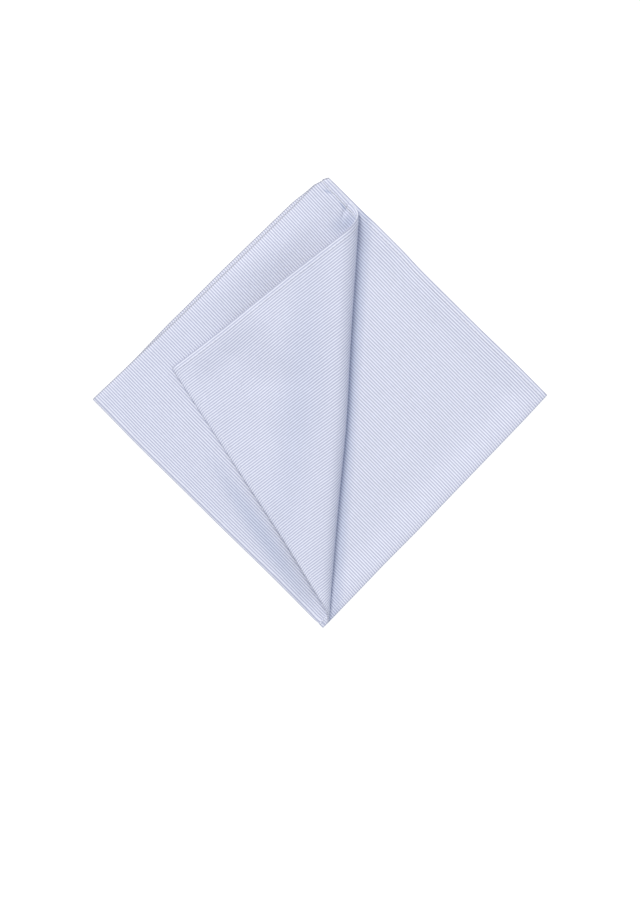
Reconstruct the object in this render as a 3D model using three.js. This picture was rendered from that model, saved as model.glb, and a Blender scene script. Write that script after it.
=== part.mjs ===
import * as THREE from 'three';
import { mergeVertices } from 'three/addons/utils/BufferGeometryUtils.js';

// A hemmed cotton pocket square, folded in quarters and laid flat, with the free
// corner of its top layer turned over in a soft roll. Millimetres, Z up.
// It rests on Z = 0 with the middle of its outline over the origin. X runs to the
// free corner of the folded stack and Y to the corner where the roll is open.

// The cloth and its layers
const THICK = 1.1;
const LAYER_GAP = 0.3;
const LAYERS = 4;
const PITCH = THICK + LAYER_GAP;
const STACK_SPAN = (LAYERS - 1) * PITCH;
const STACK_MIDDLE = (THICK + STACK_SPAN) / 2;
const TOP_LAYER = THICK / 2 + STACK_SPAN;
const QUARTER = 165;

// The two quarter folds: the first joins neighbouring layers, the second wraps both
const FIRST_RADIUS = PITCH / 2;
const SECOND_RADIUS = PITCH;
const FIRST_HALF_ARC = FIRST_RADIUS * Math.PI / 2;
const SECOND_HALF_ARC = SECOND_RADIUS * Math.PI / 2;

// Corners of the folded stack in plan
const CENTRE_CORNER = new THREE.Vector2(-117.5, 2);
const MOUTH_CORNER = new THREE.Vector2(2.8, 118.1);
const FREE_CORNER = new THREE.Vector2(116.9, 4);
const BASE_CORNER = new THREE.Vector2(1.7, -116.7);

// The top layer's own free corner, before it is turned over: it lies a little inside
const TURNED_CORNER = new THREE.Vector2(110.4, 1.5);

// The roll's outer edge in plan, and its radii below and above that edge. It is a slender
// cone: the lines along it meet at a tip far beyond its foot
const ROLL_FOOT = { edge: new THREE.Vector2(5.2, -105.1), under: 1.1, over: 5.4 };
const ROLL_HEAD = { edge: new THREE.Vector2(20, 93.5), under: 3, over: 8.6 };
const TIP_BEYOND_FOOT = 330;
const LENGTHWISE = ROLL_HEAD.edge.clone().sub(ROLL_FOOT.edge).normalize();
const TIP = ROLL_FOOT.edge.clone().addScaledVector(LENGTHWISE, -TIP_BEYOND_FOOT);
const REACH_AT_HEAD = ROLL_HEAD.edge.distanceTo(TIP);

// Past its crest the turned corner stays level, sinks, and then lies on the layer below
const LEVEL_PAST_CREST = 6;
const SUNK_PAST_CREST = 46;
const LENGTH_LOST_SINKING = 1.2;

// How far the first fold's edge strays outwards, for the lower and upper pair of layers,
// along the way from the centre corner (0) to the mouth corner (1)
const FOLD_EDGE = [
  { along: 0.00, lower: 0.0, upper: 0.0 },
  { along: 0.15, lower: -0.1, upper: -0.2 },
  { along: 0.36, lower: 1.0, upper: -0.6 },
  { along: 0.60, lower: 1.7, upper: -0.6 },
  { along: 0.86, lower: 1.7, upper: -0.3 },
  { along: 0.94, lower: 0.6, upper: 0.0 },
  { along: 0.98, lower: 0.0, upper: 0.0 },
  { along: 1.00, lower: -2.0, upper: -2.0 },
];
const EDGE_FADE = 45;

// Soft ridges in the upper layers: middle in plan, direction, reach along and across
const RIDGES = [
  { x: 84, y: 10, heading: 75, along: 30, across: 16, height: 0.4 },
  { x: 45, y: 48, heading: 60, along: 40, across: 20, height: 0.4 },
  { x: 48, y: -38, heading: 110, along: 36, across: 20, height: 0.4 },
  { x: -58, y: -24, heading: 130, along: 36, across: 18, height: 0.4 },
  { x: -52, y: 48, heading: 40, along: 34, across: 16, height: 0.4 },
];

// Number of strips that the surface is divided into
const STRIPS = {
  backAcross: 12,
  firstFold: 8,
  secondFold: 10,
  frontAcross: 10,
  underLayers: 8,
  upperLayers: 20,
  roll: 16,
  sinking: 8,
  cornerFlat: 5,
};

// Past the sinking strips the lines fan out: on the side hem they reach this share of the way to
// the turned corner, on the top hem all of it
const FAN_ON_SIDE_HEM = 0.2;

// Points of neighbouring grids this close are one point
const JOIN_TOLERANCE = 1e-3;

// Flat cloth distances from the first crease (across) and the second crease (along)
const FLAT_ACROSS = QUARTER - FIRST_RADIUS + FIRST_HALF_ARC;
const SECOND_INSET = SECOND_RADIUS + FIRST_RADIUS;
const FLAT_ALONG = QUARTER - SECOND_INSET + SECOND_HALF_ARC;

function steps(from, to, count) {
  return Array.from({ length: count + 1 }, (unused, i) => from + (to - from) * i / count);
}

function lookUp(table, key, column, value) {
  const last = table[table.length - 1];
  const next = table.find((row) => row[key] >= value) ?? last;
  const previous = table[Math.max(0, table.indexOf(next) - 1)];
  const span = next[key] - previous[key];
  const share = span > 0 ? THREE.MathUtils.smoothstep(value, previous[key], next[key]) : 0;
  return previous[column] + (next[column] - previous[column]) * share;
}

// First fold: distance from its edge, and height in the two-layer stack
function foldInHalf(across) {
  if (Math.abs(across) < FIRST_HALF_ARC) {
    const angle = across / FIRST_RADIUS;
    return { fromEdge: FIRST_RADIUS * (1 - Math.cos(angle)), height: FIRST_RADIUS * Math.sin(angle) };
  }
  const fromEdge = FIRST_RADIUS + Math.abs(across) - FIRST_HALF_ARC;
  return { fromEdge, height: Math.sign(across) * FIRST_RADIUS };
}

// Second fold: bends that stack over itself, the front layer outermost
function foldInQuarters(along, height) {
  const radius = SECOND_RADIUS + height;
  if (Math.abs(along) < SECOND_HALF_ARC) {
    const angle = along / SECOND_RADIUS;
    return { fromEdge: SECOND_INSET - radius * Math.cos(angle), z: STACK_MIDDLE + radius * Math.sin(angle) };
  }
  const fromEdge = SECOND_INSET + Math.abs(along) - SECOND_HALF_ARC;
  return { fromEdge, z: STACK_MIDDLE + Math.sign(along) * radius };
}

// Plan position of a point at the given distances from the two folded edges
function layOut(fromFirst, fromSecond) {
  const u = fromFirst / QUARTER;
  const v = fromSecond / QUARTER;
  const nearSecond = CENTRE_CORNER.clone().lerp(BASE_CORNER, u);
  const farFromSecond = MOUTH_CORNER.clone().lerp(FREE_CORNER, u);
  return nearSecond.lerp(farFromSecond, v);
}

function placeLayers(across, along) {
  const half = foldInHalf(across);
  const quarter = foldInQuarters(along, half.height);
  const plan = layOut(half.fromEdge, quarter.fromEdge);
  return new THREE.Vector3(plan.x, plan.y, quarter.z);
}

// The roll's radii and starting direction at a distance from its tip
function rollAt(reach) {
  const share = (reach - TIP_BEYOND_FOOT) / (REACH_AT_HEAD - TIP_BEYOND_FOOT);
  const under = THREE.MathUtils.lerp(ROLL_FOOT.under, ROLL_HEAD.under, share);
  const over = THREE.MathUtils.lerp(ROLL_FOOT.over, ROLL_HEAD.over, share);
  return { under, over, startAngle: LENGTHWISE.angle() + under / reach };
}

// Turns the top layer over the roll: quarter arc under, quarter arc over, level, sinking, flat
function turnOver(plan) {
  const arm = plan.clone().sub(TIP);
  const reach = arm.length();
  const { under, over, startAngle } = rollAt(reach);
  const past = (startAngle - arm.angle()) * reach;
  if (past <= 0) {
    return new THREE.Vector3(plan.x, plan.y, TOP_LAYER);
  }
  const underArc = under * Math.PI / 2;
  const overArc = over * Math.PI / 2;
  let forward = 0;
  let lift = 0;
  if (past < underArc) {
    forward = under * Math.sin(past / under);
    lift = under * (1 - Math.cos(past / under));
  } else if (past < underArc + overArc) {
    const angle = (past - underArc) / over;
    forward = under - over * (1 - Math.cos(angle));
    lift = under + over * Math.sin(angle);
  } else {
    const beyond = past - underArc - overArc;
    const sunk = THREE.MathUtils.smoothstep(beyond, LEVEL_PAST_CREST, SUNK_PAST_CREST);
    forward = under - over - (beyond - LENGTH_LOST_SINKING * sunk);
    lift = THREE.MathUtils.lerp(under + over, PITCH, sunk);
  }
  const angle = startAngle - forward / reach;
  return new THREE.Vector3(
    TIP.x + reach * Math.cos(angle),
    TIP.y + reach * Math.sin(angle),
    TOP_LAYER + lift,
  );
}

// The wandering fold edge and the soft ridges, as small moves of the whole stack
function settle(point) {
  const edge = MOUTH_CORNER.clone().sub(CENTRE_CORNER);
  const length = edge.length();
  const direction = edge.normalize();
  const outwards = new THREE.Vector2(-direction.y, direction.x);
  const arm = new THREE.Vector2(point.x, point.y).sub(CENTRE_CORNER);
  const along = THREE.MathUtils.clamp(arm.dot(direction) / length, 0, 1);
  const inwards = -arm.dot(outwards);
  const fade = 1 - THREE.MathUtils.smoothstep(inwards, 0, EDGE_FADE);
  const upperShare = THREE.MathUtils.smoothstep(point.z, STACK_MIDDLE - PITCH / 2, STACK_MIDDLE + PITCH / 2);
  const lower = lookUp(FOLD_EDGE, 'along', 'lower', along);
  const upper = lookUp(FOLD_EDGE, 'along', 'upper', along);
  const stray = (lower + (upper - lower) * upperShare) * fade;
  const rise = (point.z - THICK / 2) / STACK_SPAN;
  const lift = THREE.MathUtils.clamp(rise, 0, 1) * ridgeHeight(point.x, point.y);
  return new THREE.Vector3(
    point.x + outwards.x * stray,
    point.y + outwards.y * stray,
    point.z + lift,
  );
}

function ridgeHeight(x, y) {
  return RIDGES.reduce((sum, ridge) => {
    const heading = THREE.MathUtils.degToRad(ridge.heading);
    const offset = new THREE.Vector2(x - ridge.x, y - ridge.y).rotateAround(new THREE.Vector2(), -heading);
    const distance = Math.hypot(offset.x / ridge.along, offset.y / ridge.across);
    return sum + ridge.height * Math.exp(-distance * distance);
  }, 0);
}

// Where a line from the roll's tip at the given angle crosses the line from one point to another
function crossing(angle, from, to) {
  const side = new THREE.Vector2(-Math.sin(angle), Math.cos(angle));
  const start = from.clone().sub(TIP).dot(side);
  const end = to.clone().sub(TIP).dot(side);
  return from.clone().lerp(to, start / (start - end));
}

// Lines across the top layer in plan, from its second fold and its side hem to its top hem.
// From the roll on they follow the cone, so that every strip bends along its own length.
function topLayerLines() {
  const foldCorner = layOut(FIRST_RADIUS, SECOND_INSET);
  const baseCorner = layOut(QUARTER, SECOND_INSET);
  const mouthCorner = layOut(FIRST_RADIUS, QUARTER);
  const angleAt = (reach, rolled, past) => {
    const { under, over, startAngle } = rollAt(reach);
    return startAngle - (rolled * (under + over) * Math.PI / 2 + past) / reach;
  };
  const lineAt = (rolled, past) => ({
    from: crossing(angleAt(TIP_BEYOND_FOOT, rolled, past), baseCorner, TURNED_CORNER),
    to: crossing(angleAt(REACH_AT_HEAD, rolled, past), mouthCorner, TURNED_CORNER),
  });
  const rollLines = steps(0, 1, STRIPS.roll).map((rolled) => lineAt(rolled, 0));
  const sinkLines = steps(0, SUNK_PAST_CREST, STRIPS.sinking).slice(1).map((past) => lineAt(1, past));
  const flatLines = steps(0, 1, STRIPS.frontAcross).map((share) => ({
    from: foldCorner.clone().lerp(baseCorner, share),
    to: mouthCorner.clone().lerp(rollLines[0].to, share * (1 - 1 / STRIPS.frontAcross)),
  }));
  const bentLines = [...rollLines, ...sinkLines];
  const lastBent = bentLines[bentLines.length - 1];
  const cornerLines = steps(0, 1, STRIPS.cornerFlat).slice(1).map((share) => ({
    from: lastBent.from.clone().lerp(TURNED_CORNER, share * FAN_ON_SIDE_HEM),
    to: lastBent.to.clone().lerp(TURNED_CORNER, share),
  }));
  return [...flatLines, ...bentLines, ...cornerLines];
}

// Grids of points on the middle of the cloth, each a list of rows
function clothGrids() {
  const underAlong = steps(-FLAT_ALONG, -SECOND_HALF_ARC, STRIPS.underLayers);
  const foldAlong = steps(-SECOND_HALF_ARC, SECOND_HALF_ARC, STRIPS.secondFold).slice(1);
  const upperAlong = steps(SECOND_HALF_ARC, FLAT_ALONG, STRIPS.upperLayers).slice(1);
  const backAcross = steps(-FLAT_ACROSS, -FIRST_HALF_ARC, STRIPS.backAcross);
  const foldAcross = steps(-FIRST_HALF_ARC, FIRST_HALF_ARC, STRIPS.firstFold).slice(1);
  const frontAcross = steps(FIRST_HALF_ARC, FLAT_ACROSS, STRIPS.frontAcross);
  const placeRow = (across, alongs) => alongs.map((along) => placeLayers(across, along));
  const underAndFold = [...underAlong, ...foldAlong];
  const backAndFirstFold = [...backAcross, ...foldAcross];
  const allAlong = [...underAndFold, ...upperAlong];
  const shares = steps(0, 1, STRIPS.upperLayers);
  return [
    backAndFirstFold.map((across) => placeRow(across, allAlong)),
    frontAcross.map((across) => placeRow(across, underAndFold)),
    topLayerLines().map((line) => shares.map((share) => turnOver(line.from.clone().lerp(line.to, share)))),
  ];
}

// One surface through the middle of the cloth, its grids joined where they meet
function middleSurface() {
  const positions = [];
  const addTriangle = (...corners) => corners.forEach((corner) => positions.push(...settle(corner)));
  clothGrids().forEach((rows) => {
    for (let i = 0; i + 1 < rows.length; i += 1) {
      for (let j = 0; j + 1 < rows[i].length; j += 1) {
        addTriangle(rows[i][j], rows[i + 1][j], rows[i + 1][j + 1]);
        addTriangle(rows[i][j], rows[i + 1][j + 1], rows[i][j + 1]);
      }
    }
  });
  const surface = new THREE.BufferGeometry();
  surface.setAttribute('position', new THREE.Float32BufferAttribute(positions, 3));
  const joined = mergeVertices(surface, JOIN_TOLERANCE);
  joined.computeVertexNormals();
  return joined;
}

// Edges that belong to one triangle only, in that triangle's direction
function openEdges(index) {
  const edges = new Map();
  for (let i = 0; i < index.length; i += 3) {
    for (let corner = 0; corner < 3; corner += 1) {
      const from = index[i + corner];
      const to = index[i + (corner + 1) % 3];
      const opposite = `${to} ${from}`;
      if (edges.has(opposite)) {
        edges.delete(opposite);
      } else {
        edges.set(`${from} ${to}`, [from, to]);
      }
    }
  }
  return [...edges.values()];
}

// Gives the surface its thickness: a face on each side of it and a rim around its edge
function thicken(surface, thickness) {
  const middle = surface.getAttribute('position');
  const normal = surface.getAttribute('normal');
  const index = Array.from(surface.getIndex().array);
  const count = middle.count;
  const positions = [];
  [thickness / 2, -thickness / 2].forEach((offset) => {
    for (let i = 0; i < count; i += 1) {
      const point = new THREE.Vector3().fromBufferAttribute(middle, i);
      const outwards = new THREE.Vector3().fromBufferAttribute(normal, i);
      positions.push(...point.addScaledVector(outwards, offset));
    }
  });
  const faces = [...index];
  for (let i = 0; i < index.length; i += 3) {
    faces.push(index[i] + count, index[i + 2] + count, index[i + 1] + count);
  }
  openEdges(index).forEach(([from, to]) => {
    faces.push(from, from + count, to + count);
    faces.push(from, to + count, to);
  });
  const solid = new THREE.BufferGeometry();
  solid.setAttribute('position', new THREE.Float32BufferAttribute(positions, 3));
  solid.setIndex(faces);
  return solid;
}

// Moves the middle of the outline over the origin, leaving the underside at Z = 0
function centreInPlan(solid) {
  solid.computeBoundingBox();
  const middle = solid.boundingBox.getCenter(new THREE.Vector3());
  solid.translate(-middle.x, -middle.y, 0);
  solid.computeVertexNormals();
  return solid;
}

const shirting = new THREE.MeshStandardMaterial({ color: 0xd3d8ec, roughness: 0.9, metalness: 0 });
shirting.side = THREE.DoubleSide;

const cloth = new THREE.Mesh(centreInPlan(thicken(middleSurface(), THICK)), shirting);
cloth.name = 'cloth';

const pocketSquare = new THREE.Group();
pocketSquare.add(cloth);

export default pocketSquare;
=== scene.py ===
"""A hemmed cotton pocket square, folded in quarters, with its top layer's free corner turned over.

The cloth is one thin sheet. Every point of it has a place on the flat square: across, its
distance from the first crease, and along, its distance from the second. The functions below fold
the flat square once, fold it again, lay it out, roll one corner over and let it settle. Sizes are
in millimetres, and are turned into metres when a mesh is made.
"""

import math

import bpy
import numpy as np
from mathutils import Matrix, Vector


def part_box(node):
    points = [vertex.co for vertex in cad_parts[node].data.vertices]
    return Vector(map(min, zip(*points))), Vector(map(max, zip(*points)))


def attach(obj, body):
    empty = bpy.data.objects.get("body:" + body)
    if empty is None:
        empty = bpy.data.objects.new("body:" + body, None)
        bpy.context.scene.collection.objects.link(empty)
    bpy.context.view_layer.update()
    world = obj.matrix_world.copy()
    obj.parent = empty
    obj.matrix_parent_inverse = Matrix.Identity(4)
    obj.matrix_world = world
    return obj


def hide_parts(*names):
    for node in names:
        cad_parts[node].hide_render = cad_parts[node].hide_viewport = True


MILLIMETRE = 0.001

# The cloth: one ply, and its hem of two more plies turned to the wrong side
PLY = 0.36
QUARTER = 165.0
HEM_WIDTH = 3.0
HEM_TURN = 0.3
HEM_PLIES = 0.6

# By the end of its turn the hem has gained this share of its extra thickness
GAINED_IN_TURN = 0.5

# Heights of the four layers, well inside the cloth and at its hems. The heights at the hems hold
# as far inwards as the hem is wide, and fade to the inner ones from there. Far above, both rise alike
LAYER_PITCH = 0.7
INNER_LEVELS = [0.2, 0.9, 1.6, 2.3]
HEMMED_LEVELS = [1.0, 1.44, 3.38, 3.83]
HEM_FADE = 16.0
FAR_ABOVE = 40.0

# The two quarter folds: the first joins neighbouring layers, the second wraps both
FIRST_RADIUS = LAYER_PITCH / 2
SECOND_RADIUS = LAYER_PITCH
FIRST_HALF_ARC = FIRST_RADIUS * math.pi / 2
SECOND_HALF_ARC = SECOND_RADIUS * math.pi / 2
STACK_MIDDLE = (INNER_LEVELS[0] + INNER_LEVELS[-1]) / 2
TOP_LAYER = INNER_LEVELS[-1]
SECOND_INSET = SECOND_RADIUS + FIRST_RADIUS
FLAT_ACROSS = QUARTER - FIRST_RADIUS + FIRST_HALF_ARC
FLAT_ALONG = QUARTER - SECOND_INSET + SECOND_HALF_ARC

# Corners of the folded stack in plan, and the top layer's own free corner before it is turned
CENTRE_CORNER = np.array([-117.5, 2.0])
MOUTH_CORNER = np.array([2.8, 118.1])
FREE_CORNER = np.array([116.9, 4.0])
BASE_CORNER = np.array([1.7, -116.7])
TURNED_CORNER = np.array([111.1, 2.9])

# The roll's outer edge in plan, and its radii below and above that edge. It is a slender cone:
# the lines along it meet at a tip far beyond its foot
ROLL_FOOT = {"edge": np.array([5.2, -105.1]), "under": 1.1, "over": 5.4}
ROLL_HEAD = {"edge": np.array([20.0, 93.5]), "under": 3.0, "over": 8.6}
TIP_BEYOND_FOOT = 330.0
LENGTHWISE = ROLL_HEAD["edge"] - ROLL_FOOT["edge"]
ROLL_LENGTH = float(np.hypot(*LENGTHWISE))
LENGTHWISE_ANGLE = math.atan2(LENGTHWISE[1], LENGTHWISE[0])
TIP = ROLL_FOOT["edge"] - LENGTHWISE / ROLL_LENGTH * TIP_BEYOND_FOOT

# How far past its crest the turned corner stays level, and where it has sunk to the layer below.
# Up the roll goes from its foot (0) to its head (1). The slope takes up a little length
DESCENT = [
    {"up": 0.00, "level": 1.0, "sunk": 24.0},
    {"up": 0.28, "level": 1.0, "sunk": 36.0},
    {"up": 0.41, "level": 2.0, "sunk": 38.0},
    {"up": 0.56, "level": 6.0, "sunk": 46.0},
    {"up": 0.76, "level": 18.0, "sunk": 74.0},
    {"up": 1.00, "level": 24.0, "sunk": 90.0},
]
LENGTH_FOR_SLOPE = 1.2

# Height of the sunk corner above the layer it lies on. Its hems hold it up, its edges curl down
REST = {"inside": 0.5, "on_hem": 2.0, "fade": 17.0}
EDGE_CURL = {"side": 0.75, "top": 0.35, "width": 3.2}

# How much higher it rests at a distance from its top hem, towards the foot of the roll
REST_RISE = [
    {"from_top": 45.0, "rise": 0.0},
    {"from_top": 85.0, "rise": 1.3},
    {"from_top": 165.0, "rise": 1.6},
]

# The roll's edge bows outwards a little in the middle
BOW = {"depth": 1.1, "up": 0.48, "reach": 0.17, "fade": 25.0}

# How far the edges of the folded stack stray outwards along the way from one corner (0) to the
# next (1). The columns are for the layers below and above the height that splits them
FIRST_FOLD_EDGE = [
    {"way": 0.00, "lower": 0.0, "upper": 0.0},
    {"way": 0.15, "lower": -0.1, "upper": -0.2},
    {"way": 0.36, "lower": 1.0, "upper": -0.6},
    {"way": 0.60, "lower": 1.6, "upper": -0.6},
    {"way": 0.86, "lower": 1.6, "upper": -0.3},
    {"way": 0.94, "lower": 0.5, "upper": 0.0},
    {"way": 0.98, "lower": 0.0, "upper": 0.0},
]
MOUTH_HEM_END = [
    {"way": 0.955, "lower": 0.0, "upper": 0.0},
    {"way": 0.985, "lower": -1.2, "upper": -1.2},
    {"way": 1.00, "lower": -2.3, "upper": -2.3},
]
TOP_HEM_EDGE = [
    {"way": 0.00, "lower": 0.0, "upper": -0.7},
    {"way": 0.17, "lower": 0.0, "upper": -0.7},
    {"way": 0.23, "lower": 0.3, "upper": -0.4},
    {"way": 0.34, "lower": 0.3, "upper": -0.4},
    {"way": 0.44, "lower": -0.2, "upper": -0.9},
    {"way": 0.64, "lower": -0.1, "upper": -0.8},
    {"way": 0.88, "lower": 0.4, "upper": -0.3},
    {"way": 1.00, "lower": 0.3, "upper": -0.4},
]
SIDE_HEM_EDGE = [
    {"way": 0.00, "lower": 0.1, "upper": 0.1},
    {"way": 0.10, "lower": 0.3, "upper": 0.3},
    {"way": 0.55, "lower": 0.0, "upper": 0.0},
    {"way": 0.75, "lower": -0.5, "upper": -0.5},
    {"way": 1.00, "lower": -0.6, "upper": -0.6},
]
SECOND_FOLD_EDGE = [
    {"way": 0.00, "lower": -0.2, "upper": -0.2},
    {"way": 0.20, "lower": -0.4, "upper": -0.4},
    {"way": 0.50, "lower": 0.1, "upper": 0.1},
    {"way": 0.80, "lower": 0.4, "upper": 0.4},
    {"way": 1.00, "lower": 0.0, "upper": 0.0},
]
BASE_HEM_END = [
    {"way": 0.018, "lower": -0.35, "upper": -0.35},
    {"way": 0.040, "lower": 0.0, "upper": 0.0},
]

# The two splitting heights: between the two pairs of layers, and below the top layer
PAIR_SPLIT = STACK_MIDDLE
TOP_SPLIT = (INNER_LEVELS[2] + INNER_LEVELS[3]) / 2

# Each straying edge, and how far inside the stack its straying fades out
STRAYING_EDGES = [
    {"edge": FIRST_FOLD_EDGE, "from": CENTRE_CORNER, "to": MOUTH_CORNER, "fade": 45, "split": PAIR_SPLIT},
    {"edge": MOUTH_HEM_END, "from": CENTRE_CORNER, "to": MOUTH_CORNER, "fade": 16, "split": PAIR_SPLIT},
    {"edge": TOP_HEM_EDGE, "from": MOUTH_CORNER, "to": FREE_CORNER, "fade": 40, "split": TOP_SPLIT},
    {"edge": SIDE_HEM_EDGE, "from": FREE_CORNER, "to": BASE_CORNER, "fade": 40, "split": PAIR_SPLIT},
    {"edge": SECOND_FOLD_EDGE, "from": BASE_CORNER, "to": CENTRE_CORNER, "fade": 40, "split": PAIR_SPLIT},
    {"edge": BASE_HEM_END, "from": BASE_CORNER, "to": CENTRE_CORNER, "fade": 9, "split": PAIR_SPLIT},
]

# The second fold's nose in plan: the distance from its edge that a point of the round fold has,
# and the distance it gets, inside the stack and at the hems
FOLD_NOSE = [
    {"round": 0.0, "inner": 0.0, "hemmed": 0.0},
    {"round": 0.7, "inner": 1.3, "hemmed": 0.9},
    {"round": 1.05, "inner": 2.0, "hemmed": 2.0},
    {"round": 23.0, "inner": 23.0, "hemmed": 23.0},
]

# Cloth that the second fold takes up beyond a fold of one ply, on each side of its middle
FOLD_TAKES_UP = 1.3

# Near the side hems the stitching drags the stripes along, most of all on the turned corner
HEM_DRAG = {"shift": 0.2, "shift_turned": 0.65, "width": 2.8}

# Where the hems go round the two folds they are pressed to a share of their thickness: how far
# from the middle of each fold they are pressed hardest, and where they are full again
PRESSED_HEM = {"share": 0.45, "first_fold": (0.5, 1.2), "second_fold": (1.4, 3.0)}

# Soft ridges (height above 0) and troughs (below 0): middle, direction, reach along and across
CREASES = [
    {"x": 84, "y": 10, "heading": 75, "long": 34, "wide": 9, "height": 0.35},
    {"x": 45, "y": 48, "heading": 60, "long": 40, "wide": 16, "height": 0.4},
    {"x": 48, "y": -38, "heading": 110, "long": 36, "wide": 18, "height": 0.45},
    {"x": 70, "y": -12, "heading": 80, "long": 30, "wide": 8, "height": -0.2},
    {"x": -58, "y": -24, "heading": 130, "long": 36, "wide": 14, "height": 0.4},
    {"x": -52, "y": 48, "heading": 40, "long": 34, "wide": 12, "height": 0.4},
    {"x": -20, "y": 80, "heading": 45, "long": 22, "wide": 7, "height": 0.3},
    {"x": -36, "y": 72, "heading": 37, "long": 42, "wide": 9, "height": 1.1},
    {"x": 12.4, "y": 98.6, "heading": 82, "long": 2.4, "wide": 0.8, "height": -0.85},
    {"x": 13.9, "y": 100.2, "heading": 72, "long": 2.8, "wide": 0.7, "height": -0.75},
    {"x": 4.4, "y": 110.6, "heading": 140, "long": 2.4, "wide": 0.7, "height": -0.6},
]

# Number of steps that each stretch of the cloth is divided into, and how far past the roll's
# crest the stretch of the descent goes
STEPS = {
    "back": 46,
    "first_fold": 10,
    "front": 60,
    "under": 44,
    "second_fold": 14,
    "upper": 104,
    "roll": 30,
    "descent": 40,
    "corner": 26,
    "hem_turn": 5,
    "hem_strip": 4,
}
DESCENT_LINES_END = 56.0

# Points of neighbouring patches are joined when they agree to this many digits
JOIN_DIGITS = 3
JOIN_TOLERANCE = 10**-JOIN_DIGITS

# Small steps over the flat cloth that show which way it faces, and which way a stitch runs
FACING_STEP = 0.04
AHEAD_STEP = 0.1

# Stitches of the hem, and how thick one is on the way from end (-0.5) to end (0.5)
STITCH = {"inset": 2.5, "length": 2.1, "gap": 0.7, "thread": 0.2, "sides": 6}
STITCH_PROFILE = [
    {"way": -0.5, "girth": 0.25},
    {"way": -0.3, "girth": 1.0},
    {"way": 0.3, "girth": 1.0},
    {"way": 0.5, "girth": 0.25},
]

# The stripe: its period, the share of its wave that its soft edges take up, and its slow drift
STRIPE = {"period": 1.295, "soft": 0.55, "drift": 0.5, "drift_scale": 0.05}
WHITE_YARN = (0.80, 0.825, 0.91, 1.0)
BLUE_YARN = (0.50, 0.525, 0.65, 1.0)

# What yarns, slubs and soft clouds add to the tone of the cloth, and the first two to its relief.
# Slubs are stretched along the stripes
YARN = {"pitch": STRIPE["period"] / 4, "tone": 0.02, "relief": 0.5}
SLUB = {"stretch": 0.3, "scale": 1.1, "detail": 3.0, "tone": 0.16, "relief": 0.6}
CLOUD = {"scale": 0.09, "detail": 3.0, "tone": 0.05}
PLAIN_TONE = 0.895
RELIEF = {"strength": 0.12, "distance": 0.1 * MILLIMETRE}

# Sewing thread: its colour, and the darker share and fineness of its twist
THREAD = {"colour": (0.84, 0.86, 0.92), "dark": 0.9, "scale": 9000.0, "detail": 1.0}

# Settings of the matt cotton that the cloth and the thread share
COTTON = {
    "Roughness": 0.85,
    "Specular IOR Level": 0.25,
    "Sheen Weight": 0.12,
    "Sheen Roughness": 0.5,
}

# Where the pattern's top edge is, and how far past its edges the painted shade of the hems' turns lies
PATTERN_TOP = FLAT_ALONG + FOLD_TAKES_UP
PAST_EDGE = 0.1

# Lines of painted shade, where the cloth turns from the light at its folds and edges and where one
# layer shades the next. In turn: the first fold, the gap that shows beside it, the second fold, the
# outer edges of the side and top hems, and the inner edge of the top hems
PAINTED_SHADE_LINES = [
    {"over": "across", "at": 0.0, "width": 2.4, "depth": 0.16},
    {"over": "across", "at": 0.25, "width": 1.0, "depth": 0.36},
    {"over": "along", "at": 0.0, "width": 4.6, "depth": 0.14},
    {"over": "across", "at": FLAT_ACROSS + PAST_EDGE, "width": 1.8, "depth": 0.15},
    {"over": "along", "at": PATTERN_TOP + PAST_EDGE, "width": 1.8, "depth": 0.15},
    {"over": "along", "at": PATTERN_TOP - HEM_WIDTH, "width": 0.9, "depth": 0.15},
]

# Soft shaded patches, as shares of the light lost: middle on the flat cloth, direction, and how
# far they reach along and across it. In turn: the sinking corner, beside the first fold, beside
# the corner's side hem, inside the roll's mouth, beside the roll, and two creases at the mouth
SHADES = [
    {"across": 121, "along": 108, "heading": 132, "long": 105, "wide": 20, "depth": 0.085},
    {"across": 16, "along": 106, "heading": 90, "long": 60, "wide": 14, "depth": 0.02},
    {"across": 112, "along": 13, "heading": 168, "long": 66, "wide": 9, "depth": 0.17},
    {"across": 27, "along": 158, "heading": 65, "long": 14, "wide": 8, "depth": 0.17},
    {"across": -97, "along": 88, "heading": 49.2, "long": 230, "wide": 7, "depth": 0.27},
    {"across": 19, "along": 162.3, "heading": -6, "long": 4.5, "wide": 1.0, "depth": 0.3},
    {"across": 7, "along": 161.6, "heading": 15, "long": 3.5, "wide": 1.0, "depth": 0.3},
]
TOP_LAYER_SHADE = {"fade": 6.0, "depth": 0.03}

# What the cloth's colour is multiplied by in full shade and out of it
FULL_SHADE = (0.0, 0.17, 0.42, 1.0)
NO_SHADE = (1.0, 1.0, 1.0, 1.0)

# The photograph's frame at the cloth, and the camera straight above its middle, in metres. The
# sensor is in millimetres
FRAME_HEIGHT = 0.4695
CAMERA_PLACE = (0.0, -0.0263, 1.7)
SENSOR = 36.0

# The light, in metres and watts: one softbox at the upper left, and the even glow of the studio
SOFTBOX = {
    "place": (-0.84, 1.60, 2.50),
    "size": 1.5,
    "energy": 62.4,
    "colour": (1.0, 0.951, 0.876),
}
STUDIO = {"colour": (0.94, 0.985, 1.12, 1.0), "strength": 0.57}

# The white floor glows, so that the cloth throws next to no shadow on it. Its size is in metres
FLOOR = {
    "half": 3.0,
    "colour": (0.2, 0.2, 0.2, 1.0),
    "roughness": 1.0,
    "glow": (1.0, 1.0, 1.0, 1.0),
    "strength": 0.92,
}

# Numbers of the sockets for colours on a mixing node, whose names aren't unique
MIX_SHARE = 0
MIX_FIRST = 6
MIX_SECOND = 7
MIX_RESULT = 2


def smoothstep(value, low, high):
    """0 up to the low value, 1 from the high value on, with a soft step between."""
    share = np.clip((value - low) / (high - low), 0.0, 1.0)
    return share * share * (3.0 - 2.0 * share)


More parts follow.
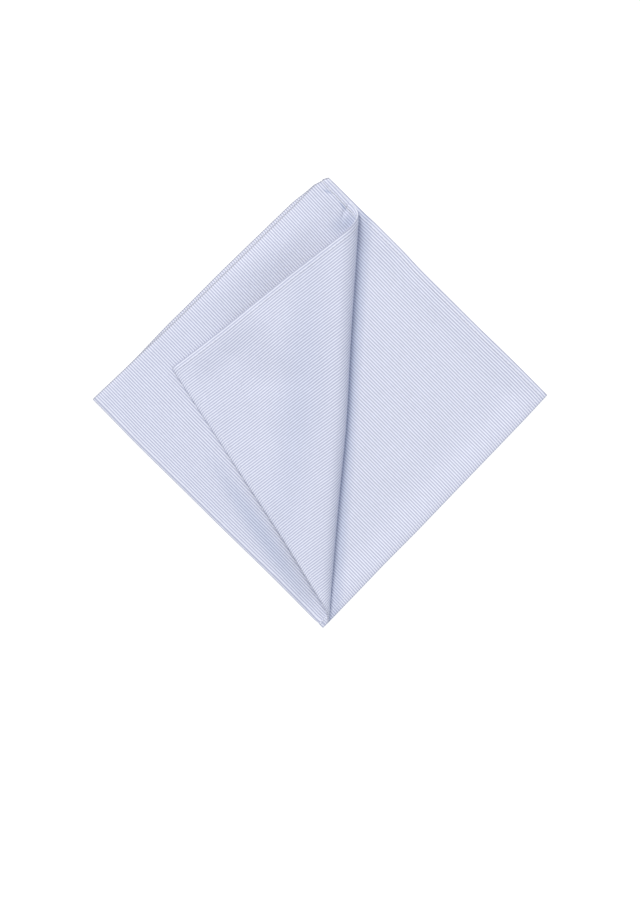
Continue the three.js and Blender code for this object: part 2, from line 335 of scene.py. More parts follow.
def look_up(table, key, column, values):
    """A column of the table at the given values of its key, eased from row to row."""
    keys = np.array([row[key] for row in table])
    amounts = np.array([row[column] for row in table])
    after = np.clip(np.searchsorted(keys, values), 1, len(keys) - 1)
    share = smoothstep(values, keys[after - 1], keys[after])
    return amounts[after - 1] + (amounts[after] - amounts[after - 1]) * share


def fold_in_half(across):
    """First fold: distance from its edge, and height in the two-layer stack."""
    bent = np.abs(across) < FIRST_HALF_ARC
    angle = across / FIRST_RADIUS
    past_bend = FIRST_RADIUS + np.abs(across) - FIRST_HALF_ARC
    from_edge = np.where(bent, FIRST_RADIUS * (1 - np.cos(angle)), past_bend)
    height = np.where(bent, FIRST_RADIUS * np.sin(angle), np.sign(across) * FIRST_RADIUS)
    return from_edge, height


def fold_in_quarters(along, height):
    """Second fold: bends that stack over itself. Gives distance from its edge, and height."""
    radius = SECOND_RADIUS + height
    bent = np.abs(along) < SECOND_HALF_ARC
    angle = along / SECOND_RADIUS
    past_bend = SECOND_INSET + np.abs(along) - SECOND_HALF_ARC
    from_edge = np.where(bent, SECOND_INSET - radius * np.cos(angle), past_bend)
    rise = np.where(bent, radius * np.sin(angle), np.sign(along) * radius)
    return from_edge, STACK_MIDDLE + rise


def lay_out(from_first, from_second):
    """Plan position of points at the given distances from the two folded edges."""
    u = (from_first / QUARTER)[..., None]
    v = (from_second / QUARTER)[..., None]
    near = CENTRE_CORNER * (1 - u) + BASE_CORNER * u
    far = MOUTH_CORNER * (1 - u) + FREE_CORNER * u
    return near * (1 - v) + far * v


def top_layer_shares(across, along):
    """How far into the top layer a point is, from 0 at its two folds to 1 at its hems."""
    share_across = np.clip((across - FIRST_HALF_ARC) / (FLAT_ACROSS - FIRST_HALF_ARC), 0, None)
    share_along = np.clip((along - SECOND_HALF_ARC) / (FLAT_ALONG - SECOND_HALF_ARC), 0, None)
    return share_across, share_along


def roll_at(reach):
    """The roll at a distance from its tip: share of the way up it, two radii and start angle."""
    up = (reach - TIP_BEYOND_FOOT) / ROLL_LENGTH
    under = ROLL_FOOT["under"] + (ROLL_HEAD["under"] - ROLL_FOOT["under"]) * up
    over = ROLL_FOOT["over"] + (ROLL_HEAD["over"] - ROLL_FOOT["over"]) * up
    return up, under, over, LENGTHWISE_ANGLE + under / reach


def rest_height(across, along):
    """Height of the turned corner above the layer it lies on, once it has sunk."""
    from_side = FLAT_ACROSS - across
    from_top = FLAT_ALONG - along
    inside_side = smoothstep(from_side, HEM_WIDTH, REST["fade"])
    inside_top = smoothstep(from_top, HEM_WIDTH, REST["fade"])
    level = REST["on_hem"] + (REST["inside"] - REST["on_hem"]) * (inside_side * inside_top)
    rise = look_up(REST_RISE, "from_top", "rise", from_top)
    side_curl = EDGE_CURL["side"] * np.clip(1 - from_side / EDGE_CURL["width"], 0, 1) ** 2
    top_curl = EDGE_CURL["top"] * np.clip(1 - from_top / EDGE_CURL["width"], 0, 1) ** 2
    return level + rise - np.maximum(side_curl, top_curl)


def turn_over(plan, rest):
    """Turns the top layer over the roll. Gives the new plan, the lift and the distance turned."""
    arm = plan - TIP
    reach = np.hypot(arm[..., 0], arm[..., 1])
    angle = np.arctan2(arm[..., 1], arm[..., 0])
    up, under, over, start = roll_at(reach)
    past = (start - angle) * reach
    under_arc = under * math.pi / 2
    over_arc = over * math.pi / 2
    under_angle = np.clip(past / under, 0, math.pi / 2)
    over_angle = np.clip((past - under_arc) / over, 0, math.pi / 2)
    beyond = np.clip(past - under_arc - over_arc, 0, None)
    level = look_up(DESCENT, "up", "level", up)
    sunk_at = look_up(DESCENT, "up", "sunk", up)
    sunk = smoothstep(beyond, level, sunk_at)
    forward = under * np.sin(under_angle) - over * (1 - np.cos(over_angle))
    forward = forward - (beyond - LENGTH_FOR_SLOPE * sunk)
    lift = under * (1 - np.cos(under_angle)) + over * np.sin(over_angle)
    lift = lift + (rest - under - over) * sunk
    turned = past > 0
    new_angle = np.where(turned, start - forward / reach, angle)
    new_plan = TIP + reach[..., None] * np.stack([np.cos(new_angle), np.sin(new_angle)], -1)
    return new_plan, np.where(turned, lift, 0.0), past


def line_distance(plan, start, end):
    """Distance from the line, positive on its right hand, and the share of the way along it."""
    direction = (end - start) / np.hypot(*(end - start))
    arm = plan - start
    right = arm[..., 0] * direction[1] - arm[..., 1] * direction[0]
    return right, (arm @ direction) / np.hypot(*(end - start))


def outwards_from(start, end):
    """The direction at a right angle to the line, to its left."""
    direction = (end - start) / np.hypot(*(end - start))
    return np.array([-direction[1], direction[0]])


def stray_of_edge(plan, z, row):
    """How far the layers move as one edge of the stack strays."""
    inwards, way = line_distance(plan, row["from"], row["to"])
    upper_share = smoothstep(z, row["split"] - LAYER_PITCH / 2, row["split"] + LAYER_PITCH / 2)
    lower = look_up(row["edge"], "way", "lower", way)
    upper = look_up(row["edge"], "way", "upper", way)
    stray = (lower + (upper - lower) * upper_share) * (1 - smoothstep(inwards, 0, row["fade"]))
    return stray[..., None] * outwards_from(row["from"], row["to"])


def bow_of_roll(plan, z):
    """How far the top layer moves as the roll's edge bows outwards."""
    aside, way = line_distance(plan, ROLL_FOOT["edge"], ROLL_HEAD["edge"])
    depth = BOW["depth"] * np.exp(-(((way - BOW["up"]) / BOW["reach"]) ** 2))
    nearness = np.exp(-((aside / BOW["fade"]) ** 2))
    bow = depth * nearness * smoothstep(z, INNER_LEVELS[2], INNER_LEVELS[3])
    return -bow[..., None] * outwards_from(ROLL_FOOT["edge"], ROLL_HEAD["edge"])


def hem_share(plan):
    """1 at the two hemmed edges of the folded stack, 0 well inside them."""
    from_top, _ = line_distance(plan, MOUTH_CORNER, FREE_CORNER)
    from_side, _ = line_distance(plan, FREE_CORNER, BASE_CORNER)
    flat_top = smoothstep(from_top, HEM_WIDTH, HEM_FADE)
    flat_side = smoothstep(from_side, HEM_WIDTH, HEM_FADE)
    return 1 - flat_top * flat_side


def open_second_fold(from_second, plan):
    """Opens the round second fold to its real nose. Gives the new distance from its edge."""
    knots = [row["round"] for row in FOLD_NOSE]
    inner = np.interp(from_second, knots, [row["inner"] for row in FOLD_NOSE])
    hemmed = np.interp(from_second, knots, [row["hemmed"] for row in FOLD_NOSE])
    opened = inner + (hemmed - inner) * hem_share(plan)
    return np.where(from_second > knots[-1], from_second, opened)


def crease_height(plan):
    """How much the soft ridges and troughs lift the cloth."""
    total = np.zeros(plan.shape[:-1])
    for crease in CREASES:
        heading = math.radians(crease["heading"])
        x = plan[..., 0] - crease["x"]
        y = plan[..., 1] - crease["y"]
        lengthwise = (x * math.cos(heading) + y * math.sin(heading)) / crease["long"]
        sideways = (y * math.cos(heading) - x * math.sin(heading)) / crease["wide"]
        total += crease["height"] * np.exp(-(lengthwise**2) - sideways**2)
    return total


def settle(plan, z):
    """Lets the stack settle: its edges stray, its hems thicken it, soft creases lift it."""
    strays = sum(stray_of_edge(plan, z, row) for row in STRAYING_EDGES)
    moved = plan + strays + bow_of_roll(plan, z)
    above = [TOP_LAYER + FAR_ABOVE, HEMMED_LEVELS[-1] + FAR_ABOVE]
    hemmed = np.interp(z, INNER_LEVELS + above[:1], HEMMED_LEVELS + above[1:])
    raised = z + (hemmed - z) * hem_share(plan)
    layers_up = np.clip((z - INNER_LEVELS[0]) / (TOP_LAYER - INNER_LEVELS[0]), 0, 1)
    return moved, raised + layers_up * crease_height(plan)


def place(across, along):
    """Where points of the flat cloth lie once it is folded."""
    from_first, height = fold_in_half(across)
    from_second, z = fold_in_quarters(along, height)
    from_second = open_second_fold(from_second, lay_out(from_first, from_second))
    plan = lay_out(from_first, from_second)
    share_across, share_along = top_layer_shares(across, along)
    plan = plan + (share_across * share_along)[..., None] * (TURNED_CORNER - FREE_CORNER)
    in_top_layer = (share_across > 0) & (share_along > 0)
    turned_plan, lift, past = turn_over(plan, rest_height(across, along))
    turned = in_top_layer & (past > 0)
    plan = np.where(turned[..., None], turned_plan, plan)
    z = np.where(turned, z + lift, z)
    plan, z = settle(plan, z)
    return np.concatenate([plan, z[..., None]], -1)


def wrong_side(across, along):
    """Unit vectors out of the wrong side of the folded cloth."""
    by_across = place(across + FACING_STEP, along) - place(across - FACING_STEP, along)
    by_along = place(across, along + FACING_STEP) - place(across, along - FACING_STEP)
    out = np.cross(by_across, by_along)
    return out / np.linalg.norm(out, axis=-1, keepdims=True)


def crossing_share(angle, start, end):
    """How far from start to end the line from the roll's tip at that angle crosses."""
    side = np.array([-math.sin(angle), math.cos(angle)])
    before = (start - TIP) @ side
    after = (end - TIP) @ side
    return before / (before - after)


def top_layer_lines():
    """Lines over the top layer on the flat cloth, from second fold or side hem to top hem.

    From the roll on they follow it, so that the cloth bends along them.
    """
    body_across = FLAT_ACROSS - HEM_TURN
    body_along = FLAT_ALONG - HEM_TURN
    base = lay_out(np.array(QUARTER), np.array(SECOND_INSET))
    mouth = lay_out(np.array(FIRST_RADIUS), np.array(QUARTER))

    def bent_line(rolled, past):
        shares = []
        for reach, corner in ((TIP_BEYOND_FOOT, base), (TIP_BEYOND_FOOT + ROLL_LENGTH, mouth)):
            _, under, over, start = roll_at(reach)
            angle = start - (rolled * (under + over) * math.pi / 2 + past) / reach
            shares.append(crossing_share(angle, corner, TURNED_CORNER))
        side = (body_across, SECOND_HALF_ARC + (body_along - SECOND_HALF_ARC) * shares[0])
        top = (FIRST_HALF_ARC + (body_across - FIRST_HALF_ARC) * shares[1], body_along)
        return side, top

    rolled = [bent_line(share, 0) for share in np.linspace(0, 1, STEPS["roll"] + 1)]
    sinking = np.linspace(0, DESCENT_LINES_END, STEPS["descent"] + 1)[1:]
    sunk = [bent_line(1, past) for past in sinking]
    roll_start = rolled[0][1][0]
    flat = []
    for share in np.linspace(0, 1, STEPS["front"] + 1):
        across = FIRST_HALF_ARC + (body_across - FIRST_HALF_ARC) * share
        reached = share * (1 - 1 / STEPS["front"])
        top_across = FIRST_HALF_ARC + (roll_start - FIRST_HALF_ARC) * reached
        flat.append(((across, SECOND_HALF_ARC), (top_across, body_along)))
    last_side, last_top = sunk[-1]
    corner = []
    for share in np.linspace(0, 1, STEPS["corner"] + 1)[1:-1]:
        side = last_side[1] + (body_along - last_side[1]) * share
        top = last_top[0] + (body_across - last_top[0]) * share
        corner.append(((body_across, side), (top, body_along)))
    return flat + rolled + sunk + corner


def cloth_patches():
    """Grids of points on the flat cloth that cover it between its hems."""
    body_across = FLAT_ACROSS - HEM_TURN
    body_along = FLAT_ALONG - HEM_TURN
    back = np.linspace(-body_across, -FIRST_HALF_ARC, STEPS["back"] + 1)
    first_fold = np.linspace(-FIRST_HALF_ARC, FIRST_HALF_ARC, STEPS["first_fold"] + 1)
    front = np.linspace(FIRST_HALF_ARC, body_across, STEPS["front"] + 1)
    under = np.linspace(-body_along, -SECOND_HALF_ARC, STEPS["under"] + 1)
    second_fold = np.linspace(-SECOND_HALF_ARC, SECOND_HALF_ARC, STEPS["second_fold"] + 1)
    shares = np.linspace(0, 1, STEPS["upper"] + 1)
    upper = SECOND_HALF_ARC + (body_along - SECOND_HALF_ARC) * shares
    under_and_fold = np.concatenate([under, second_fold[1:]])
    whole_along = np.concatenate([under_and_fold, upper[1:]])
    whole_back = np.concatenate([back, first_fold[1:]])
    lines = np.array(top_layer_lines())
    starts = lines[:, None, 0]
    top_layer = starts + (lines[:, None, 1] - starts) * shares[None, :, None]
    return [
        np.stack(np.meshgrid(whole_back, whole_along, indexing="ij"), -1),
        np.stack(np.meshgrid(front, under_and_fold, indexing="ij"), -1),
        top_layer,
    ]


def join_patches(patches):
    """One list of points on the flat cloth, and the faces between them with 3 or 4 corners."""
    points = []
    numbers = {}
    faces = []

    def number_of(point):
        key = (round(float(point[0]), JOIN_DIGITS), round(float(point[1]), JOIN_DIGITS))
        if key not in numbers:
            numbers[key] = len(points)
            points.append(point)
        return numbers[key]

    for patch in patches:
        rows = [[number_of(point) for point in row] for row in patch]
        for row, next_row in zip(rows, rows[1:]):
            for i in range(len(row) - 1):
                corners = [row[i], next_row[i], next_row[i + 1], row[i + 1]]
                corners = list(dict.fromkeys(corners))
                if len(corners) > 2:
                    faces.append(corners)
    return np.array(points), faces


def open_edges(faces):
    """Edges that belong to one face only, in that face's direction."""
    edges = {}
    for face in faces:
        for start, end in zip(face, face[1:] + face[:1]):
            if (end, start) in edges:
                del edges[(end, start)]
            else:
                edges[(start, end)] = True
    return list(edges)


def hem_profile():
    """Rows across the hem from its turn on: depth into the cloth, offset, thickness, cloth used."""
    rows = []
    for angle in np.linspace(0, math.pi, STEPS["hem_turn"] + 1)[1:]:
        share = angle / math.pi
        rows.append({
            "depth": HEM_TURN * (1 - math.sin(angle)),
            "offset": HEM_TURN * (1 - math.cos(angle)),
            "thickness": PLY + (HEM_PLIES - PLY) * share * GAINED_IN_TURN,
            "used": HEM_TURN * angle,
        })
    turned = rows[-1]["used"]
    for share in np.linspace(0, 1, STEPS["hem_strip"] + 1)[1:]:
        depth = HEM_TURN + (HEM_WIDTH - HEM_TURN) * share
        rows.append({
            "depth": depth,
            "offset": 2 * HEM_TURN,
            "thickness": HEM_PLIES,
            "used": turned + depth - HEM_TURN,
        })
    return rows


def pressed_hem_share(flat):
    """The share of its thickness that the hem has: less where it goes round a fold."""
    from_first = smoothstep(np.abs(flat[:, 0]), *PRESSED_HEM["first_fold"])
    from_second = smoothstep(np.abs(flat[:, 1]), *PRESSED_HEM["second_fold"])
    return PRESSED_HEM["share"] + (1 - PRESSED_HEM["share"]) * np.minimum(from_first, from_second)


def add_hems(flat, faces):
    """Adds the hems to the body: rows of points that turn round its rim and lie on its wrong side."""
    rim = open_edges(faces)
    members = sorted({start for start, _ in rim})
    edge = flat[members]
    pressed = pressed_hem_share(edge)
    full = np.array([FLAT_ACROSS, FLAT_ALONG])
    hemmed = np.abs(edge) > full - HEM_TURN - JOIN_TOLERANCE
    outwards = np.sign(edge) * hemmed
    rows = [members]
    flats = [flat]
    offsets = [np.zeros(len(flat))]
    thicknesses = [np.full(len(flat), PLY)]
    used = [np.zeros((len(flat), 2))]
    count = len(flat)
    for row in hem_profile():
        rows.append(list(range(count, count + len(edge))))
        flats.append(edge * (full - row["depth"]) / (full - HEM_TURN))
        offsets.append(row["offset"] * pressed)
        thicknesses.append(row["thickness"] * pressed)
        used.append(outwards * (row["used"] + row["depth"] - HEM_TURN))
        count += len(edge)
    place_in_row = {number: i for i, number in enumerate(members)}
    faces = list(faces)
    for near, far in zip(rows, rows[1:]):
        for start, end in rim:
            i = place_in_row[start]
            j = place_in_row[end]
            faces.append([near[j], near[i], far[i], far[j]])
    return {
        "flat": np.concatenate(flats),
        "offset": np.concatenate(offsets),
        "thickness": np.concatenate(thicknesses),
        "pattern": pattern_places(np.concatenate(flats) + np.concatenate(used)),
        "faces": faces,
    }


def pattern_places(flat):
    """Where the stripes run: the second fold takes up some cloth, and the side hems drag them."""
    across, along = flat.T
    taken_up = FOLD_TAKES_UP * np.clip(along / SECOND_HALF_ARC, -1, 1)
    near_hem = np.clip(1 - (FLAT_ACROSS - np.abs(across)) / HEM_DRAG["width"], 0, 1)
    turned = (across > 0) & (along > 0)
    drag = np.where(turned, HEM_DRAG["shift_turned"], HEM_DRAG["shift"]) * near_hem**2
    return np.stack([across, along + taken_up + drag], -1)


def thicken(sheet):
    """Both faces of the sheet and its raw edge: points, faces and the pattern's place at each."""
    across, along = sheet["flat"].T
    out = wrong_side(across, along)
    middle = place(across, along) + out * sheet["offset"][:, None]
    turned = middle_normals(middle, sheet["faces"])
    half = sheet["thickness"][:, None] / 2
    points = np.concatenate([middle + turned * half, middle - turned * half])
    count = len(middle)
    faces = [list(face) for face in sheet["faces"]]
    faces += [[number + count for number in reversed(face)] for face in sheet["faces"]]
    for start, end in open_edges(sheet["faces"]):
        faces.append([end, start, start + count, end + count])
    return points, faces, np.concatenate([sheet["pattern"], sheet["pattern"]])


def middle_normals(points, faces):
    """The mean direction of the faces around each point."""
    total = np.zeros_like(points)
    for size in (3, 4):
        some = np.array([face for face in faces if len(face) == size])
        if len(some) == 0:
            continue
        corners = points[some]
        facing = np.cross(corners[:, 2] - corners[:, 0], corners[:, -1] - corners[:, 1])
        for i in range(size):
            np.add.at(total, some[:, i], facing)
    return total / np.linalg.norm(total, axis=-1, keepdims=True)


def make_object(name, points, faces, pattern=None):
    """A smooth object of the points and faces, with the pattern's places where it has one."""
    mesh = bpy.data.meshes.new(name)
    mesh.from_pydata((points * MILLIMETRE).tolist(), [], faces)
    mesh.validate()
    mesh.shade_smooth()
    if pattern is not None:
        numbers = np.zeros(len(mesh.loops), int)
        mesh.loops.foreach_get("vertex_index", numbers)
        layer = mesh.uv_layers.new(name="flat_cloth")
        layer.data.foreach_set("uv", (pattern[numbers] * MILLIMETRE).astype(np.float32).ravel())
    piece = bpy.data.objects.new(name, mesh)
    bpy.context.scene.collection.objects.link(piece)
    return piece


def frame_shift(points):
    """The move in plan that puts the middle of the cloth's outline where the frame has it."""
    low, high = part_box("cloth")
    middle = np.array([(low[0] + high[0]) / 2, (low[1] + high[1]) / 2]) / MILLIMETRE
    outline = (points[:, :2].min(0) + points[:, :2].max(0)) / 2
    return np.append(middle - outline, 0.0)


def make_cloth():
    """The folded and hemmed cloth, and the move that puts it in the frame's place."""
    flat, faces = join_patches(cloth_patches())
    sheet = add_hems(flat, faces)
    points, faces, pattern = thicken(sheet)
    shift = frame_shift(points)
    return make_object("pocket_square", points + shift, faces, pattern), shift


def stitch_rows():
    """Middles of the hem's stitches on the flat cloth, and the direction of each."""
    step = STITCH["length"] + STITCH["gap"]
    places = []
    sides = [
        (FLAT_ACROSS - STITCH["inset"], FLAT_ALONG - STITCH["inset"], 0),
        (FLAT_ALONG - STITCH["inset"], FLAT_ACROSS - STITCH["inset"], 1),
    ]
    for distance, reach, axis in sides:
        count = int(2 * reach / step)
        for i in range(count):
            way = -reach + (i + 0.5) * 2 * reach / count
            for sign in (-1, 1):
                middle = [sign * distance, way] if axis == 0 else [way, sign * distance]
                direction = [0, 1] if axis == 0 else [1, 0]
                places.append((middle, direction))
    return places


def stitch_points(middles, directions, offset):
    """Points round the stitches at an offset from the cloth's middle, one ring after another."""
    points = []
    for row in STITCH_PROFILE:
        centre = middles + directions * row["way"] * STITCH["length"]
        across, along = centre.T
        out = wrong_side(across, along)
        here = place(across, along)
        ahead = place(*(centre + directions * AHEAD_STEP).T) - here
        ahead = ahead / np.linalg.norm(ahead, axis=-1, keepdims=True)
        beside = np.cross(out, ahead)
        radius = row["girth"] * STITCH["thread"] / 2
        for i in range(STITCH["sides"]):
            turn = 2 * math.pi * i / STITCH["sides"]
            around = beside * math.cos(turn) + out * math.sin(turn)
            points.append(here + out * offset + around * radius)
    return np.concatenate(points)


def stitch_faces(count, first):
    """Faces of stitches whose points start at the first number: their sides, then their ends."""
    sides = STITCH["sides"]
    last_ring = len(STITCH_PROFILE) - 1

    def number(ring, side, stitch):
        return first + (ring * sides + side % sides) * count + stitch

    faces = []
    for ring in range(last_ring):
        for side in range(sides):
            for stitch in range(count):
                near = [number(ring, side, stitch), number(ring, side + 1, stitch)]
                far = [number(ring + 1, side + 1, stitch), number(ring + 1, side, stitch)]
                faces.append(near + far)
    for stitch in range(count):
        faces.append([number(0, side, stitch) for side in reversed(range(sides))])
        faces.append([number(last_ring, side, stitch) for side in range(sides)])
    return faces


def make_stitches(shift):
    """The hem's stitches on both faces of the cloth, as one piece."""
    rows = stitch_rows()
    middles = np.array([middle for middle, _ in rows])
    directions = np.array([direction for _, direction in rows])
    right_side = stitch_points(middles, directions, -PLY / 2)
    hem_side = stitch_points(middles, directions, 2 * HEM_TURN + HEM_PLIES / 2)
    faces = stitch_faces(len(rows), 0) + stitch_faces(len(rows), len(right_side))
    return make_object("hem_stitches", np.concatenate([right_side, hem_side]) + shift, faces)


class Shader:
    """Adds nodes to a material, one line each."""

    def __init__(self, name):
        self.material = bpy.data.materials.new(name)
        self.material.use_nodes = True
        self.tree = self.material.node_tree
        self.surface = self.tree.nodes["Principled BSDF"]

    def add(self, kind, inputs=None, **settings):
        """A new node with its settings, and a link or a value for each named or numbered socket."""
        node = self.tree.nodes.new(kind)
        for setting, value in settings.items():
            setattr(node, setting, value)
        for socket, value in (inputs or {}).items():
            self.put(node, socket, value)
        return node

    def put(self, node, socket, value):
        if isinstance(value, bpy.types.NodeSocket):
            self.tree.links.new(value, node.inputs[socket])
        else:
            node.inputs[socket].default_value = value

    def math(self, operation, *values):
        node = self.add("ShaderNodeMath", operation=operation)
        for i, value in enumerate(values):
            self.put(node, i, value)
        return node.outputs[0]

    def times(self, vector, factor):
        """The vector or colour, scaled by one number."""
        inputs = {"Vector": vector, "Scale": factor}
        return self.add("ShaderNodeVectorMath", inputs, operation="SCALE").outputs[0]

    def noise(self, vector, scale, detail=2.0):
        node = self.add("ShaderNodeTexNoise", {"Vector": vector, "Scale": scale, "Detail": detail})
        return node.outputs["Fac"]

    def eased(self, value, low, high, before=0.0, after=1.0):
        """The first amount up to the low value, the second from the high one on, eased between."""
        inputs = {
            "Value": value,
            "From Min": low,
            "From Max": high,
            "To Min": before,
            "To Max": after,
        }
        return self.add("ShaderNodeMapRange", inputs, interpolation_type="SMOOTHSTEP").outputs[0]

    def line(self, coordinate, middle, width):
        """1 along the middle of a line, and its mirror image, fading to 0 at its sides."""
        from_middle = self.math("SUBTRACT", self.math("ABSOLUTE", coordinate), middle)
        distance = self.math("ABSOLUTE", from_middle)
        return self.eased(distance, 0.0, width / 2, before=1.0, after=0.0)

    def patch(self, across, along, patch):
        """1 in the middle of a long soft patch, fading to 0 at its reach."""
        heading = math.radians(patch["heading"])
        x = self.math("SUBTRACT", across, patch["across"])
        y = self.math("SUBTRACT", along, patch["along"])
        x_lengthwise = self.math("MULTIPLY", x, math.cos(heading) / patch["long"])
        x_sideways = self.math("MULTIPLY", x, -math.sin(heading) / patch["wide"])
        lengthwise = self.math("MULTIPLY_ADD", y, math.sin(heading) / patch["long"], x_lengthwise)
        sideways = self.math("MULTIPLY_ADD", y, math.cos(heading) / patch["wide"], x_sideways)
        both = self.add("ShaderNodeCombineXYZ", {"X": lengthwise, "Y": sideways}).outputs[0]
        distance = self.add("ShaderNodeVectorMath", {0: both}, operation="LENGTH").outputs["Value"]
        return self.math("SUBTRACT", 1.0, self.eased(distance, 0.0, 1.0))

    def mix(self, share, first, second):
        """The first colour where the share is 0, the second where it is 1."""
        inputs = {MIX_SHARE: share, MIX_FIRST: first, MIX_SECOND: second}
        node = self.add("ShaderNodeMix", data_type="RGBA")
        for socket, value in inputs.items():
            self.put(node, socket, value)
        return node.outputs[MIX_RESULT]

    def set_cotton(self):
        for socket, value in COTTON.items():
            self.put(self.surface, socket, value)


def stripes(shader, flat, along):
    """The colour of the yarns: white and blue by turns."""
    drift = shader.math("MULTIPLY", shader.noise(flat, STRIPE["drift_scale"]), STRIPE["drift"])
    drifted = shader.math("ADD", along, drift)
    wave = shader.math("COSINE", shader.math("MULTIPLY", drifted, 2 * math.pi / STRIPE["period"]))
    white = shader.eased(wave, -STRIPE["soft"], STRIPE["soft"])
    return shader.mix(white, BLUE_YARN, WHITE_YARN)


def yarn_crossings(shader, across, along):
    """Highs and lows where warp and weft of the plain weave cross."""
    per_yarn = 2 * math.pi / YARN["pitch"]
    warp = shader.math("SINE", shader.math("MULTIPLY", along, per_yarn))
    weft = shader.math("SINE", shader.math("MULTIPLY", across, per_yarn))
    return shader.math("MULTIPLY", warp, weft)


def slubs(shader, across, along):
    """Thick and thin places of the yarns, long in the direction of the stripes."""
    stretched = shader.math("MULTIPLY", across, SLUB["stretch"])
    where = shader.add("ShaderNodeCombineXYZ", {"X": stretched, "Y": along}).outputs[0]
    return shader.noise(where, SLUB["scale"], SLUB["detail"])


def tone_of_cloth(shader, flat, across, along, crossing, slub):
    """How light the cloth is from place to place, with painted shade along its folds and hems."""
    cloud = shader.noise(flat, CLOUD["scale"], CLOUD["detail"])
    clouded = shader.math("MULTIPLY_ADD", cloud, CLOUD["tone"], PLAIN_TONE)
    tone = shader.math("MULTIPLY_ADD", slub, SLUB["tone"], clouded)
    tone = shader.math("MULTIPLY_ADD", crossing, YARN["tone"], tone)
    # Painted shade along the folds, the gap beside the first fold and the hems' edges
    for line in PAINTED_SHADE_LINES:
        coordinate = across if line["over"] == "across" else along
        share = shader.line(coordinate, line["at"], line["width"])
        kept = shader.math("MULTIPLY_ADD", share, -line["depth"], 1.0)
        tone = shader.math("MULTIPLY", tone, kept)
    return tone


def shade_of_cloth(shader, across, along):
    """The colour of the soft shade that lies on the cloth."""
    past_first = shader.eased(across, 0.0, TOP_LAYER_SHADE["fade"])
    past_second = shader.eased(along, 0.0, TOP_LAYER_SHADE["fade"])
    on_top = shader.math("MULTIPLY", past_first, past_second)
    shade = shader.math("MULTIPLY", on_top, TOP_LAYER_SHADE["depth"])
    for patch in SHADES:
        share = shader.patch(across, along, patch)
        shade = shader.math("MULTIPLY_ADD", share, patch["depth"], shade)
    return shader.mix(shade, NO_SHADE, FULL_SHADE)


def shirting():
    """Fine stripes of white and blue yarn in a plain weave, the same on both sides."""
    shader = Shader("shirting")
    in_metres = shader.add("ShaderNodeUVMap", uv_map="flat_cloth").outputs["UV"]
    flat = shader.times(in_metres, 1 / MILLIMETRE)
    across, along, _ = shader.add("ShaderNodeSeparateXYZ", {0: flat}).outputs
    crossing = yarn_crossings(shader, across, along)
    slub = slubs(shader, across, along)

    tone = tone_of_cloth(shader, flat, across, along, crossing, slub)
    toned = shader.times(stripes(shader, flat, along), tone)
    colours = {0: toned, 1: shade_of_cloth(shader, across, along)}
    shaded = shader.add("ShaderNodeVectorMath", colours, operation="MULTIPLY").outputs[0]
    shader.put(shader.surface, "Base Color", shaded)

    slub_relief = shader.math("MULTIPLY", slub, SLUB["relief"])
    relief = {
        "Height": shader.math("MULTIPLY_ADD", crossing, YARN["relief"], slub_relief),
        "Strength": RELIEF["strength"],
        "Distance": RELIEF["distance"],
    }
    bump = shader.add("ShaderNodeBump", relief)
    shader.put(shader.surface, "Normal", bump.outputs[0])
    shader.set_cotton()
    return shader.material


def thread():
    """White sewing thread with a fine twist."""
    shader = Shader("thread")
    spot = shader.add("ShaderNodeTexCoord").outputs["Object"]
    twist = shader.noise(spot, THREAD["scale"], THREAD["detail"])
    dark = tuple(THREAD["dark"] * part for part in THREAD["colour"])
    colour = shader.mix(twist, dark + (1.0,), THREAD["colour"] + (1.0,))
    shader.put(shader.surface, "Base Color", colour)
    shader.set_cotton()
    return shader.material


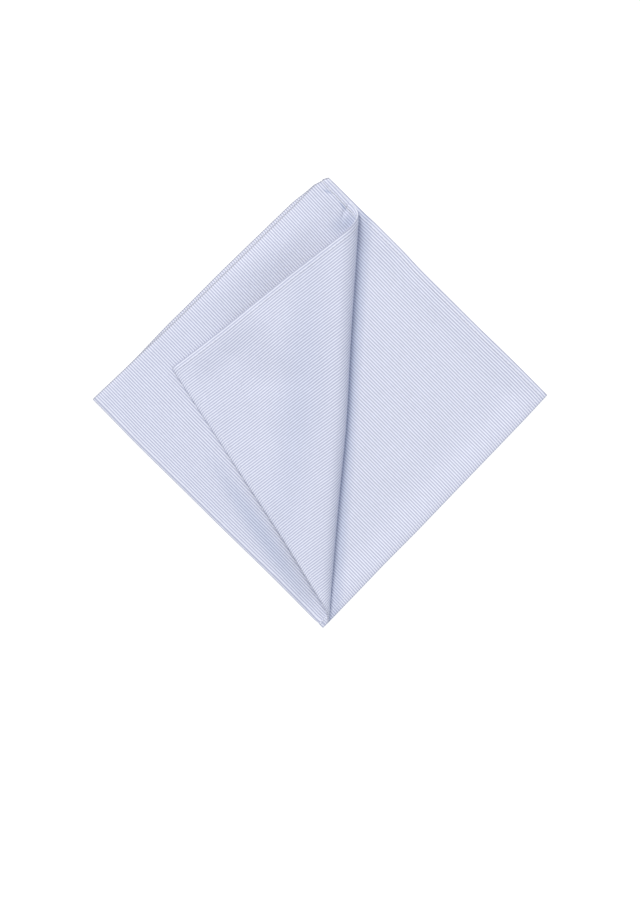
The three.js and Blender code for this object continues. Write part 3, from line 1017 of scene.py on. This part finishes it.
def make_floor():
    """The white floor that the cloth lies on."""
    half = FLOOR["half"]
    corners = [(-half, -half, 0), (half, -half, 0), (half, half, 0), (-half, half, 0)]
    mesh = bpy.data.meshes.new("floor")
    mesh.from_pydata(corners, [], [[0, 1, 2, 3]])
    floor = bpy.data.objects.new("floor", mesh)
    bpy.context.scene.collection.objects.link(floor)
    shader = Shader("floor_white")
    shader.put(shader.surface, "Base Color", FLOOR["colour"])
    shader.put(shader.surface, "Roughness", FLOOR["roughness"])
    shader.put(shader.surface, "Emission Color", FLOOR["glow"])
    shader.put(shader.surface, "Emission Strength", FLOOR["strength"])
    mesh.materials.append(shader.material)


def add_camera():
    """A camera that looks straight down on the photograph's frame."""
    camera = bpy.data.cameras.new("camera")
    camera.sensor_fit = "VERTICAL"
    camera.sensor_height = SENSOR
    camera.lens = SENSOR * CAMERA_PLACE[2] / FRAME_HEIGHT
    holder = bpy.data.objects.new("camera", camera)
    holder.location = CAMERA_PLACE
    bpy.context.scene.collection.objects.link(holder)
    bpy.context.scene.camera = holder


def add_softbox():
    """A round light that faces the origin."""
    light = bpy.data.lights.new("softbox", "AREA")
    light.shape = "DISK"
    light.size = SOFTBOX["size"]
    light.energy = SOFTBOX["energy"]
    light.color = SOFTBOX["colour"]
    holder = bpy.data.objects.new("softbox", light)
    holder.location = SOFTBOX["place"]
    bpy.context.scene.collection.objects.link(holder)
    holder.rotation_euler = holder.location.to_track_quat("Z", "Y").to_euler()


def add_studio():
    """The even glow of the white studio."""
    world = bpy.data.worlds.new("studio")
    world.use_nodes = True
    background = world.node_tree.nodes["Background"]
    background.inputs["Color"].default_value = STUDIO["colour"]
    background.inputs["Strength"].default_value = STUDIO["strength"]
    bpy.context.scene.world = world
    bpy.context.scene.view_settings.view_transform = "Standard"


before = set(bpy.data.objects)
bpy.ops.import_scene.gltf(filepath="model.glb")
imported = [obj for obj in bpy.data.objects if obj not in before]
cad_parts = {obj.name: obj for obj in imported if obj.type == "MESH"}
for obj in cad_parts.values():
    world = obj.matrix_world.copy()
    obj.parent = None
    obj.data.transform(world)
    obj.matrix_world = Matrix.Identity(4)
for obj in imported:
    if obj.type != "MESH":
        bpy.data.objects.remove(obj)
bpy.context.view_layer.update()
add_camera()
add_studio()
add_softbox()
make_floor()

cloth, shift = make_cloth()
cloth.data.materials.append(shirting())
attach(cloth, "root")
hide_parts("cloth")

stitches = make_stitches(shift)
stitches.data.materials.append(thread())
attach(stitches, "root")
